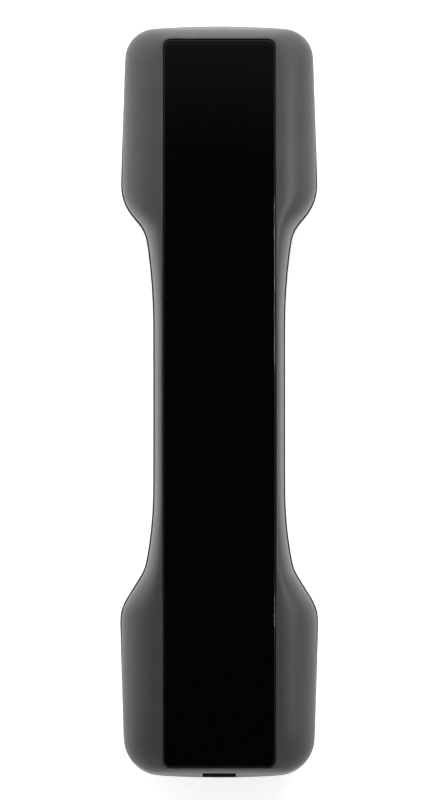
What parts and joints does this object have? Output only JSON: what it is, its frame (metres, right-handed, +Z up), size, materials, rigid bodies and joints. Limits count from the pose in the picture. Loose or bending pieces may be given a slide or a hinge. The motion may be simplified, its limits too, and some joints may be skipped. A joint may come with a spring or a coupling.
{
  "type": "telephone handset",
  "caption": "Corded telephone handset with a gloss inlay let into its arched back, ear and mouth cups, and a modular cord socket in the mouth end.",
  "frame": {"origin": "centre of the handset on the plane that its ear and mouth cups rest on", "axes": "+X across the handset, +Y towards the ear end, +Z up through the back with the inlay; the cord socket faces -Y"},
  "size_m": [0.054, 0.205, 0.038],
  "materials": {
    "charcoal_plastic": "fine matte moulding texture",
    "graphite_plastic": "fine matte moulding texture",
    "gloss_inlay": "high gloss, lacquered",
    "adhesive_tape": "thin clear-white film",
    "dark_screw_steel": "black zinc plating",
    "dark_grille": "black perforated plate",
    "black_felt": "acoustic felt",
    "soft_rubber": "soft moulded",
    "receiver_plastic": "plain moulding",
    "cone_film": "thin clear-amber film",
    "surround_rubber": "thin soft ring",
    "coil_copper": "enamelled copper wire",
    "soft_steel": "zinc plated",
    "magnet": "ground sintered magnet",
    "circuit_board": "green solder mask",
    "foam": "closed-cell foam",
    "mic_can": "bright drawn can",
    "white_plastic": "plain moulding",
    "socket_plastic": "plain black moulding",
    "gold_contact": "gold plated wire",
    "ballast_steel": "sawn bar",
    "red_insulation": "wire insulation",
    "black_insulation": "wire insulation",
    "yellow_insulation": "wire insulation",
    "green_insulation": "wire insulation"
  },
  "bodies": {
    "handset": {"back_shell": "charcoal_plastic", "front_shell": "graphite_plastic", "back_inlay": "gloss_inlay", "inlay_tape": "adhesive_tape", "housing_screws": "dark_screw_steel", "ear_grille": "dark_grille", "mouth_grille": "dark_grille", "ear_felt": "black_felt", "receiver_gasket": "soft_rubber", "receiver_cover": "receiver_plastic", "diaphragm_surround": "surround_rubber", "pole_piece": "soft_steel", "receiver_magnet": "magnet", "receiver_yoke": "soft_steel", "receiver_frame": "receiver_plastic", "receiver_board": "circuit_board", "receiver_pad": "foam", "mic_felt": "black_felt", "mic_capsule": "mic_can", "mic_spacer": "white_plastic", "mic_base": "circuit_board", "mic_boot": "soft_rubber", "jack_housing": "socket_plastic", "contact_roots": "gold_contact", "jack_board": "circuit_board", "ballast_weight": "ballast_steel", "weight_pad": "foam", "receiver_lead_a": "red_insulation", "receiver_lead_b": "black_insulation", "mic_lead_a": "yellow_insulation", "mic_lead_b": "green_insulation"},
    "receiver_cone": {"receiver_diaphragm": "cone_film", "voice_coil": "coil_copper"},
    "contact_1": {"contact_spring_1": "gold_contact"},
    "contact_2": {"contact_spring_2": "gold_contact"},
    "contact_3": {"contact_spring_3": "gold_contact"},
    "contact_4": {"contact_spring_4": "gold_contact"}
  },
  "joints": [
    {"name": "receiver_cone_slide", "type": "slide", "parent": "handset", "child": "receiver_cone", "axis": [0, 0, 1], "range_m": [-0.0003, 0.0003], "stiffness_N_per_m": 700, "deforming": ["diaphragm_surround"]},
    {"name": "contact_flex_1", "type": "hinge", "parent": "handset", "child": "contact_1", "pos_m": [-0.00153, -0.0974, 0.0216], "axis": [-1, 0, 0], "range_deg": [0, 9], "stiffness_Nm_per_rad": 0.06},
    {"name": "contact_flex_2", "type": "hinge", "parent": "handset", "child": "contact_2", "pos_m": [-0.00051, -0.0974, 0.0216], "axis": [-1, 0, 0], "range_deg": [0, 9], "stiffness_Nm_per_rad": 0.06},
    {"name": "contact_flex_3", "type": "hinge", "parent": "handset", "child": "contact_3", "pos_m": [0.00051, -0.0974, 0.0216], "axis": [-1, 0, 0], "range_deg": [0, 9], "stiffness_Nm_per_rad": 0.06},
    {"name": "contact_flex_4", "type": "hinge", "parent": "handset", "child": "contact_4", "pos_m": [0.00153, -0.0974, 0.0216], "axis": [-1, 0, 0], "range_deg": [0, 9], "stiffness_Nm_per_rad": 0.06}
  ]
}
